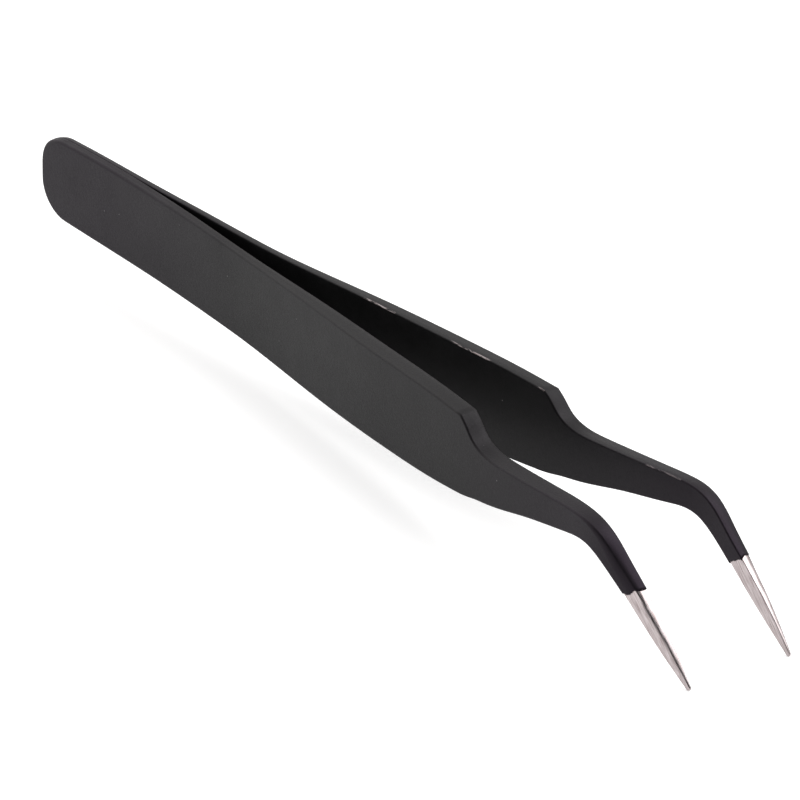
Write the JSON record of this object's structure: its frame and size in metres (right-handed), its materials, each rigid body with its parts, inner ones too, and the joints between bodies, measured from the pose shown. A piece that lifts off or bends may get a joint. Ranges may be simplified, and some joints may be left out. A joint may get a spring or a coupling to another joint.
{
  "type": "curved fine-point tweezers",
  "caption": "Slender sprung tweezers with a wide grip, a stepped neck and bent fine bare-steel points, black coated, that close when squeezed.",
  "frame": {"origin": "middle of the tail's end, on the plane where the two blades meet", "axes": "+X from the tail to the points, +Y towards the left blade (the blades open along Y), +Z across the blades' width; the points bend down to -Z"},
  "size_m": [0.1179, 0.0138, 0.0135],
  "materials": {
    "steel": "bare ground stainless spring steel, fine diagonal grinding lines",
    "weld": "fused resistance weld metal, hidden between the blades",
    "black_coating": "matte black epoxy coating with a fine orange-peel texture, worn on sharp edges"
  },
  "bodies": {
    "tail": {"left_blade_tail": "steel", "right_blade_tail": "steel", "rear_weld": "weld", "front_weld": "weld", "tail_coating": "black_coating"},
    "left_arm": {"left_blade": "steel", "left_coating": "black_coating"},
    "right_arm": {"right_blade": "steel", "right_coating": "black_coating"}
  },
  "joints": [
    {"name": "left_flexure", "type": "hinge", "parent": "tail", "child": "left_arm", "pos_m": [0.03, 0.00025, 0], "axis": [0, 0, -1], "range_deg": [0, 3.58], "stiffness_Nm_per_rad": 1},
    {"name": "right_flexure", "type": "hinge", "parent": "tail", "child": "right_arm", "pos_m": [0.03, -0.00025, 0], "axis": [0, 0, 1], "range_deg": [0, 3.58], "stiffness_Nm_per_rad": 1}
  ],
  "couplings": [
    {"joint": "right_flexure", "follows": "left_flexure", "ratio": 1}
  ]
}
